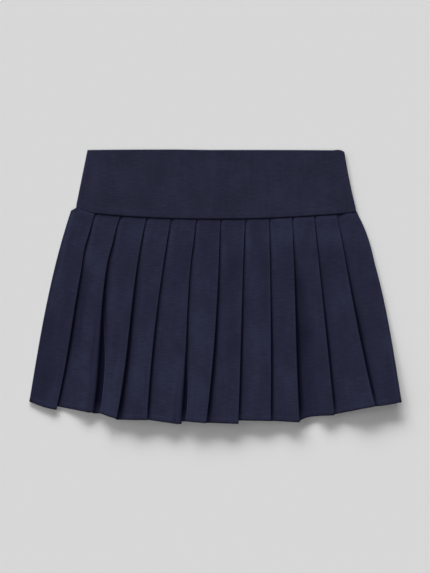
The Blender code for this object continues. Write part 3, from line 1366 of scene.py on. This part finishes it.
        # A crease's tone paints a highlight, or painted shade where it is negative.
        for crease in self.creases:
            near = crease.near(x, y)
            centres[..., 2] += crease.height * near * held
            shine_and_painted_highlight = np.clip(shine_and_painted_highlight + max(crease.tone, 0.0) * near, 0.0, 1.0)
            painted_shade = np.clip(painted_shade + max(-crease.tone, 0.0) * near, 0.0, 1.0)

        from_seam = np.array(downs)[:, None] * self.length
        to_hem = (1.0 - np.array(downs))[:, None] * self.length
        if self.lies is Lies.FACE_DOWN:
            centres[..., 2] += hem.stands * hem.rises.over(to_hem)
        half = self.cloth / 2 + (hem.half - self.cloth / 2) * hem.doubled.over(to_hem)
        # Painted shade along the pleats' top under the yoke's edge, and along the hem's edge.
        under_yoke = CLEAR_OF_LEFT_END.over(across[0]) * self.right_end.over(np.abs(x[0]))
        painted_shade = np.maximum(painted_shade, under_yoke * self.seam_shade.over(from_seam))
        painted_shade = np.maximum(painted_shade, hem.edge_shade * hem.edge_darkens.over(to_hem))
        cut = np.stack([run_lengths(centres, 1), from_seam + np.zeros(x.shape)], axis=-1)
        marks = {"shine_and_painted_highlight": shine_and_painted_highlight, "painted_shade": painted_shade}
        return ClothShell(self.name, centres, cut, half + np.zeros(x.shape), marks)

    def build(self) -> list[bpy.types.Object]:
        """Makes the panel and sews its hem.

        Returns:
            The panel and its row of stitches.
        """
        shell = self.shell()
        piece = shell.build()
        piece.data.materials.append(self.finish.material())
        to_hem = (1.0 - np.array(self.downs())) * self.length
        row = int(np.argmin(np.abs(to_hem - self.hem.stitched_at)))
        stitches = StitchRow(f"{self.name}_hem_stitches")
        sewn = stitches.build(shell.face(1)[row], shell.normals[row])
        for made in (piece, sewn):
            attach(made, "root")
        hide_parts(self.node)
        widest = float(shell.cut[..., 0].max())
        LOG.info("%s: %d faces, cloth at most %.0f mm across", self.name, len(piece.data.polygons), widest)
        return [piece, sewn]


@dataclass
class FrontPleats(PleatedPanel):
    """The front panel, which lies on the back one and comes down to it at both sides."""

    settled: float = 4.1
    side_groove: float = 0.28
    side_grooves: Hump = Hump(5.0, 1.3)
    early_climb: float = 0.4
    climbs_later: Onset = Onset(0.0, 0.35)

    def rest(self, x: float, down: float) -> float:
        """Underside of the lowest layer, which comes down to the side edges.

        Args:
            x: The place across the panel.
            down: Which row, from 0 at the seam to 1 at the hem.

        Returns:
            The height of the underside.
        """
        height = self.settled - self.flattened.lower * self.flattened.share(x, down)
        for side in (self.left, self.right):
            from_side = abs(x - side.at(down))
            share = smooth(from_side / side.drop(down))
            height = mix(self.side_height(side.roll(down)), height, share)
            height -= self.side_groove * self.side_grooves.at(from_side)
        return height

    def level_at_side(self) -> float:
        """The front's lowest layer runs out to the side."""
        return INNER_LAYER

    def climbs_until(self, start: float, inner: float, down: float) -> float:
        """A front face climbs until the stack of its own fold, and sooner near the seam."""
        return mix(mix(start, inner, self.early_climb), inner, self.climbs_later.at(down))


@dataclass
class BackPleats(PleatedPanel):
    """The back panel, laid out face up and then turned over, with its faces on the floor."""

    step: float = 8.0

    def rest(self, x: float, down: float) -> float:
        """The innermost layer lies on two others."""
        return 2 * self.pitch(down, x)

    def level_at_side(self) -> float:
        """The back's outermost layer runs out to the side."""
        return OUTER_LAYER

    def climbs_until(self, start: float, inner: float, down: float) -> float:
        """A back face comes down to the floor just past its fold."""
        return start + self.step


UNEVEN_BACK = (0.0, 1.5, -1.0, 0.8, -1.6, 0.4, 1.8, -0.6, 1.2, -1.4, 0.0)
OUTERMOST_BACK_FOLD = 0.81
BACK_HEM_MIDDLE = -176.5
BACK_HEM_SIDES = -152.6


def back_folds() -> list[PleatFold]:
    """The back's folds, a little unevenly spread over its width.

    Returns:
        The folds from left to right.
    """
    side = RIGHT_SIDE
    found = []
    for k, shift in enumerate(UNEVEN_BACK):
        share = OUTERMOST_BACK_FOLD * (2 * k / (len(UNEVEN_BACK) - 1) - 1)
        seam, upper, lower, hem = [share * x for x in (side.seam, side.upper, side.lower, side.hem)]
        hem_y = mix(BACK_HEM_MIDDLE, BACK_HEM_SIDES, ((hem + shift) / side.hem) ** 2)
        found.append(PleatFold(seam, upper + 0.5 * shift, lower + shift, hem + shift, hem_y, hem_y))
    return found


# ---------------------------------------------------------------- the yoke


@dataclass(frozen=True)
class WaistLine:
    """The waist's folded edge: its bow, its rise on the left, and its rounded right corner."""

    height: float = 183.7
    corner_drop: float = 0.7
    left_rise: float = 0.6
    left_rises: Onset = Onset(-5.0, -50.0)
    corner_hump: float = 0.7
    corner_humps: Hump = Hump(164.0, 5.0)
    corner_round: float = 1.4
    corner_rounds: Onset = Onset(167.5, 5.0)

    def over(self, xs: np.ndarray, half: float) -> np.ndarray:
        """How far up the skirt the edge lies.

        Args:
            xs: Places across the skirt.
            half: Half the waist's width.

        Returns:
            The edge's place at each of them.
        """
        y = self.height - self.corner_drop * (xs / half) ** 4
        y = y + self.left_rise * self.left_rises.over(xs)
        y = y + self.corner_hump * self.corner_humps.over(xs)
        return y - self.corner_round * self.corner_rounds.over(xs)


@dataclass(frozen=True)
class SeamAllowance:
    """The cloth turned in behind the yoke's lower edge, and what shows of it and of the pleats inside."""

    depth: Onset = Onset(8.5, -3.2)
    rise: float = 0.09
    rise_aside: float = 0.12
    left_of_middle: float = 12.0
    rises_aside: Onset = Onset(40.0, 90.0)
    from_side: float = 12.0
    side_run: float = 14.0
    stack_rise: float = 0.12
    stack: Hump = Hump(-9.0, 7.0)
    stack_depth: Onset = Onset(15.0, -13.0)


@dataclass
class Yoke:
    """One side of the doubled yoke, from the waist's folded edge down to the pleats."""

    name: str
    node: str
    lies: Lies
    finish: NavyKnit
    rests_on: Sequence[str]
    cut_size: tuple[float, float] = (0.380, 0.100)
    cut_area: float = 0.0345
    creases: Sequence[Crease] = ()
    stacks: Sequence[float] = ()
    seam: SeamLine = SeamLine()
    waist: WaistLine = WaistLine()
    allowance: SeamAllowance = SeamAllowance()
    length: float = 92.0
    top_rows: Sequence[float] = (0.0, 0.5, 1.2, 2.2, 3.6)
    bottom_rows: Sequence[float] = (12.0, 10.5, 9.2, 8.2, 7.2, 6.0, 4.6, 3.2, 2.0, 1.0, 0.0)
    row_step: float = 2.55
    columns: int = 120
    cloth: float = 1.6
    roll: float = 1.1
    waist_half: float = 172.5
    seam_half: float = 188.8
    left_seam_half: float = 187.9
    side_hollow: float = 0.9
    seam_lift: float = 2.75
    lift_from: float = 0.15
    lift_gained: float = 0.7
    lift_side_run: float = 30.0
    edge_half: float = 0.48
    edge_roll: float = 0.75
    edge_overlap: float = 0.05
    edge_thins: Onset = Onset(4.6, -4.6)
    edge_drop: float = 3.0
    back_edge_drop: float = 1.2
    side_edge_drop: float = 0.25
    edge_from_side: float = 14.0
    edge_side_run: float = 26.0
    edge_steps: int = 5
    edge_least: float = 0.02

    def downs(self) -> list[float]:
        """The rows' places from the waist to where the seam's edge rolls over."""
        return rows_down(self.length, self.top_rows, self.bottom_rows, self.row_step)

    def section(self, half: float) -> tuple[np.ndarray, np.ndarray]:
        """One row's centre line, from side seam to side seam.

        Args:
            half: Half the yoke's width at the row.

        Returns:
            The places across, and the heights.
        """
        up = self.lies.value
        inside = half - self.cloth / 2 - self.roll
        seam_z = self.cloth / 2 + self.roll + SEAM_UPRIGHT + SEAM_GAP / 2
        flat_z = seam_z + up * (SEAM_GAP / 2 + SEAM_UPRIGHT + self.roll)
        curl = quarter_turn(half - self.cloth / 2, inside, self.roll, seam_z, flat_z, up)
        flat = [(-inside * cos(pi * j / self.columns), flat_z) for j in range(1, self.columns)]
        points = np.array([(-x, z) for x, z in curl] + flat + curl[::-1])
        return points[:, 0], points[:, 1]

    def row(self, down: float) -> np.ndarray:
        """The centre points of one row, from side seam to side seam.

        Args:
            down: Which row, from 0 at the waist to 1 at the seam.

        Returns:
            The points.
        """
        half = mix(self.waist_half, self.seam_half, down) - 4 * self.side_hollow * down * (1 - down)
        left_half = mix(self.waist_half, self.left_seam_half, down)
        xs, zs = self.section(half)
        waist_y = self.waist.over(xs, half) - self.cloth / 2
        seam_y = np.array([self.seam.height(x) for x in xs / half * self.seam_half])
        seam_y = seam_y + self.edge_roll + self.edge_half + self.edge_overlap
        if self.lies is Lies.FACE_UP:
            inside = half - self.cloth / 2 - self.roll
            near_side = smooth_all((inside - np.abs(xs)) / self.lift_side_run)
            gained = smooth(self.lift_from + self.lift_gained * down) - smooth(self.lift_from)
            zs = zs + self.seam_lift * gained * near_side
        across = xs + (half - left_half) * smooth_all(-xs / half)
        return np.stack([across, waist_y + (seam_y - waist_y) * down, zs], axis=1)

    def shell(self) -> ClothShell:
        """The yoke's cloth, worked out row by row.

        Returns:
            The shell.
        """
        downs = self.downs()
        centres = np.stack([self.row(down) for down in downs])
        to_seam = (1.0 - np.array(downs))[:, None] * self.length
        x, y = centres[..., 0].copy(), centres[..., 1].copy()
        for crease in self.creases:
            centres[..., 2] += crease.height * crease.near(x, y)
        centres[..., 2] += self.seam_bulge(x, to_seam)
        thinned = self.edge_thins.over(to_seam) * (self.cloth / 2 - self.edge_half)
        centres[..., 2] += self.lies.value * thinned
        centres = self.rolled_edge(centres)
        half = np.full(centres.shape[:2], self.edge_half)
        half[: len(thinned)] = self.cloth / 2 - thinned

        across, down_cut = run_lengths(centres, 1), run_lengths(centres, 0)
        cut = np.stack([across - across[:, -1:] / 2, down_cut], axis=-1)
        # Painted shade on the rows that roll into the seam, clear of the left end on the front, and painted
        # highlights where creases have a tone.
        shine_and_painted_highlight, painted_shade = np.zeros((2, *half.shape))
        painted_shade[-3:] = CLEAR_OF_LEFT_END.over(centres[0, :, 0]) if self.lies is Lies.FACE_UP else 1.0
        for crease in self.creases:
            shine_and_painted_highlight += max(crease.tone, 0.0) * crease.near(centres[..., 0], centres[..., 1])
        return ClothShell(self.name, centres, cut, half, {"painted_shade": painted_shade, "shine_and_painted_highlight": shine_and_painted_highlight})

    def seam_bulge(self, x: np.ndarray, to_seam: np.ndarray) -> np.ndarray:
        """The rise over the seam allowance, and over each stack of pleats inside it.

        Args:
            x: Places across the skirt.
            to_seam: Each row's distance from the seam.

        Returns:
            The rise at each place.
        """
        if self.lies is Lies.FACE_DOWN:
            return np.zeros(x.shape)
        inside = self.allowance
        near_side = Onset(self.seam_half - inside.from_side, -inside.side_run).over(np.abs(x))
        aside = inside.rises_aside.over(np.abs(x + inside.left_of_middle))
        rise = (inside.rise + inside.rise_aside * aside) * inside.depth.over(to_seam) * near_side
        for stack_x in self.stacks:
            stack = inside.stack_rise * inside.stack.over(x - stack_x)
            rise = rise + stack * inside.stack_depth.over(to_seam)
        return rise

    def rolled_edge(self, centres: np.ndarray) -> np.ndarray:
        """Adds the rows that roll the lower edge over into the seam.

        Args:
            centres: The rows down to where the edge begins.

        Returns:
            The rows with the rolled edge at their end.
        """
        last = centres[-1]
        up = self.lies.value
        room = Onset(self.seam_half - self.edge_from_side, -self.edge_side_run).over(np.abs(last[:, 0]))
        drop = mix(self.side_edge_drop, self.edge_drop if up > 0 else self.back_edge_drop, room)
        turns = [pi / 2 * i / self.edge_steps for i in range(1, self.edge_steps + 1)]
        rolled = np.minimum(self.edge_roll, drop)
        steps = [(self.edge_roll * sin(turn), rolled * (1 - cos(turn))) for turn in turns]
        for share in (0.5, 1.0):
            further = np.maximum(drop - self.edge_roll, self.edge_least) * share
            steps.append((self.edge_roll + self.edge_least * share, rolled + further))
        rows = []
        for forward, lower in steps:
            row = last.copy()
            row[:, 1] -= forward
            row[:, 2] -= up * lower
            rows.append(row)
        return np.concatenate([centres, np.stack(rows)])

    def build(self) -> list[bpy.types.Object]:
        """Makes the yoke's piece of cloth.

        Returns:
            The piece.
        """
        piece = self.shell().build()
        piece.data.materials.append(self.finish.material())
        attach(piece, "root")
        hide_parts(self.node)
        LOG.info("%s: %d faces", self.name, len(piece.data.polygons))
        return [piece]


# ---------------------------------------------------------------- the skirt


@dataclass
class Skirt:
    """All four pieces of the skirt."""

    pleat_knit: NavyKnit = NavyKnit("pleat_navy_knit", (0.0177, 0.0193, 0.0388), (0.0251, 0.0275, 0.0557))
    yoke_knit: NavyKnit = NavyKnit("yoke_navy_knit", (0.0180, 0.0191, 0.0374), (0.0259, 0.0277, 0.0536))

    def parts(self) -> list[PleatedPanel | Yoke]:
        """The pieces from the floor up.

        Returns:
            The four pieces.
        """
        return [
            Yoke(
                "back_yoke_cloth",
                "back_yoke",
                Lies.FACE_DOWN,
                self.yoke_knit,
                rests_on=["studio_floor"],
            ),
            BackPleats(
                "back_pleats_cloth",
                "back_pleats",
                Lies.FACE_DOWN,
                RIGHT_SIDE.turned_over(),
                LEFT_SIDE.turned_over(),
                back_folds(),
                self.pleat_knit,
                rests_on=["studio_floor"],
                creases=BACK_CREASES,
                pitch_below_seam=0.9,
                pitch_at_hem=1.0,
                face_steps=11,
                turn_steps=4,
                row_step=4.4,
            ),
            Yoke(
                "front_yoke_cloth",
                "front_yoke",
                Lies.FACE_UP,
                self.yoke_knit,
                rests_on=["back_yoke_cloth"],
                creases=YOKE_CREASES,
                stacks=[fold.seam for fold in FRONT_FOLDS],
            ),
            FrontPleats(
                "front_pleats_cloth",
                "front_pleats",
                Lies.FACE_UP,
                LEFT_SIDE,
                RIGHT_SIDE,
                FRONT_FOLDS,
                self.pleat_knit,
                rests_on=["back_pleats_cloth"],
                creases=FRONT_CREASES,
            ),
        ]


# The last three creases only paint highlights: at the left waist corner, down the left side and on the
# right.
YOKE_CREASES = (
    Crease((-62.0, 146.0), (-48.0, 148.5), 2.2, -0.16),
    Crease((-60.0, 142.0), (-44.0, 143.5), 2.4, 0.12),
    Crease((-160.0, 128.0), (-132.0, 122.0), 7.0, 0.18),
    Crease((118.0, 150.0), (158.0, 140.0), 8.0, -0.2),
    Crease((20.0, 120.0), (62.0, 116.0), 9.0, 0.15),
    Crease((-20.0, 172.0), (40.0, 168.0), 7.0, -0.12),
    Crease((-172.0, 184.0), (-175.0, 170.0), 6.0, 0.0, tone=0.9),
    Crease((-175.0, 168.0), (-186.0, 96.0), 3.0, 0.0, tone=0.8),
    Crease((177.0, 130.0), (183.0, 98.0), 9.0, 0.0, tone=0.5),
)

# A positive tone paints a highlight where the cloth catches light, and a negative one paints shade in
# troughs and beside high folds.
FRONT_CREASES = (
    Crease((-184.0, 99.5), (-166.0, 96.0), 3.0, 0.2, tone=1.0),
    Crease((86.0, 88.0), (182.0, 95.0), 5.0, 0.25, tone=0.8),
    Crease((104.0, 60.0), (194.0, 58.0), 20.0, 1.0, tone=0.6),
    Crease((-50.0, 46.0), (90.0, 44.0), 17.0, 0.2, tone=0.1),
    Crease((-206.0, 20.0), (-222.0, -70.0), 6.0, -0.25),
    Crease((-224.0, -50.0), (-234.0, -140.0), 9.0, 0.0, tone=-0.22),
    Crease((-174.0, 14.0), (-185.0, -75.0), 5.5, -0.35, tone=-0.32),
    Crease((-167.0, -122.0), (-171.0, -160.0), 3.6, 0.3, tone=0.9),
    Crease((-124.0, 10.0), (-134.0, -110.0), 6.0, -0.25),
    Crease((-84.0, -20.0), (-98.0, -140.0), 7.0, 0.25),
    Crease((-150.0, 70.0), (-158.0, 40.0), 8.0, 0.1, tone=0.45),
    Crease((-46.0, 80.0), (-50.0, 30.0), 9.0, 0.1, tone=0.3),
    Crease((-50.0, 20.0), (-60.0, -90.0), 8.0, -0.2, tone=0.2),
    Crease((-14.0, 20.0), (-24.0, -150.0), 9.0, 0.2, tone=0.3),
    Crease((22.0, 40.0), (20.0, -80.0), 7.0, 0.2, tone=-0.1),
    Crease((54.0, -10.0), (54.0, -110.0), 8.0, -0.25, tone=0.6),
    Crease((90.0, 30.0), (92.0, -60.0), 6.0, 0.2),
    Crease((114.0, -2.0), (124.0, -60.0), 8.0, -0.3, tone=-0.26),
    Crease((121.0, -80.0), (134.0, -172.0), 11.0, -1.5, tone=-0.17),
    Crease((156.0, 10.0), (178.0, -120.0), 7.0, -0.25),
    Crease((200.0, -20.0), (226.0, -120.0), 8.0, 0.25, tone=0.3),
    Crease((232.0, -118.0), (238.0, -152.0), 10.0, -0.3, tone=-0.24),
    Crease((54.0, 84.0), (54.0, 60.0), 9.0, 0.0, tone=-0.12),
)

BACK_CREASES = (
    Crease((-180.0, 20.0), (-200.0, -90.0), 9.0, 0.3),
    Crease((-90.0, -30.0), (-98.0, -140.0), 10.0, 0.4),
    Crease((10.0, 30.0), (14.0, -90.0), 9.0, 0.3),
    Crease((84.0, -60.0), (92.0, -160.0), 8.0, 0.4),
    Crease((176.0, 10.0), (196.0, -80.0), 10.0, 0.35),
)


# ---------------------------------------------------------------- the studio


@dataclass(frozen=True)
class Lamp:
    """A broad far light: its bearing left of the waist, its height, its size and its share of the light."""

    name: str
    from_left: float
    above: float
    size: float
    share: float

    def hang(self, floor_light: float) -> None:
        """Hangs the light.

        Args:
            floor_light: How much light reaches the floor from all lights together.
        """
        aside, above = radians(self.from_left), radians(self.above)
        towards = Vector((-sin(aside) * cos(above), cos(aside) * cos(above), sin(above)))
        lamp = bpy.data.lights.new(self.name, "SUN")
        lamp.energy = self.share * floor_light * pi / sin(above)
        lamp.angle = radians(self.size)
        holder = put_in_scene(self.name, lamp)
        holder.rotation_mode = "QUATERNION"
        holder.rotation_quaternion = towards.to_track_quat("Z", "Y")


LAMPS = (
    Lamp("wide_window_right_part", -7.0, 18.0, 15.0, 0.16),
    Lamp("wide_window_middle", 11.0, 18.0, 15.0, 0.24),
    Lamp("wide_window_left_part", 29.0, 18.5, 16.0, 0.20),
    Lamp("side_panel", 66.0, 26.0, 46.0, 0.135),
    Lamp("ceiling_panel", 180.0, 72.0, 36.0, 0.215),
)


@dataclass
class Studio:
    """The pale floor, a wide low window beyond the waist with softer light from above, and the camera."""

    floor_half: float = 6000.0
    floor_grey: float = 0.80
    floor_gap: float = 0.05
    floor_light: float = 0.85
    fill_share: float = 0.05
    lamps: Sequence[Lamp] = LAMPS
    sensor: float = 36.0
    camera_height: float = 3000.0
    camera_reach: float = 20000.0
    view_height: float = 768.3
    view_level: float = 6.0
    view_centre: tuple[float, float] = (-1.1, 0.4)

    def build(self) -> None:
        """Sets out the whole studio."""
        self.lay_floor()
        for lamp in self.lamps:
            lamp.hang(self.floor_light)
        self.fill_evenly()
        self.set_camera()

    def lay_floor(self) -> None:
        """A wide plain sheet, just below the cloth."""
        mesh = bpy.data.meshes.new("studio_floor")
        wide, level = self.floor_half * MM, -self.floor_gap * MM
        corners = [(-wide, -wide, level), (wide, -wide, level), (wide, wide, level), (-wide, wide, level)]
        mesh.from_pydata(corners, [], [(0, 1, 2, 3)])
        material, bench = new_material("pale_paper")
        grey = self.floor_grey
        bench.dress({"Base Color": (grey, grey, grey, 1.0), "Roughness": 1.0, "Specular IOR Level": 0.0})
        mesh.materials.append(material)
        put_in_scene("studio_floor", mesh)

    def fill_evenly(self) -> None:
        """The same faint light from everywhere else."""
        world = bpy.data.worlds.new("even_fill")
        world.use_nodes = True
        sky = world.node_tree.nodes["Background"]
        sky.inputs["Color"].default_value = (1.0, 1.0, 1.0, 1.0)
        sky.inputs["Strength"].default_value = self.fill_share * self.floor_light
        bpy.context.scene.world = world
        bpy.context.scene.view_settings.view_transform = "Standard"

    def set_camera(self) -> None:
        """The camera looks straight down on the middle of the picture."""
        lens = bpy.data.cameras.new("overhead")
        lens.sensor_width = self.sensor
        lens.lens = self.sensor * (self.camera_height - self.view_level) / self.view_height
        lens.clip_end = self.camera_reach * MM
        camera = put_in_scene("overhead", lens)
        camera.location = [c * MM for c in (*self.view_centre, self.camera_height)]
        bpy.context.scene.camera = camera


def main() -> None:
    """Builds the studio and the skirt, piece by piece."""
    logging.basicConfig(level=logging.INFO, format="%(name)s: %(message)s")
    Studio().build()
    for part in Skirt().parts():
        for piece in part.build():
            LOG.info("built %s", piece.name)


if __name__ == "__main__":
    main()
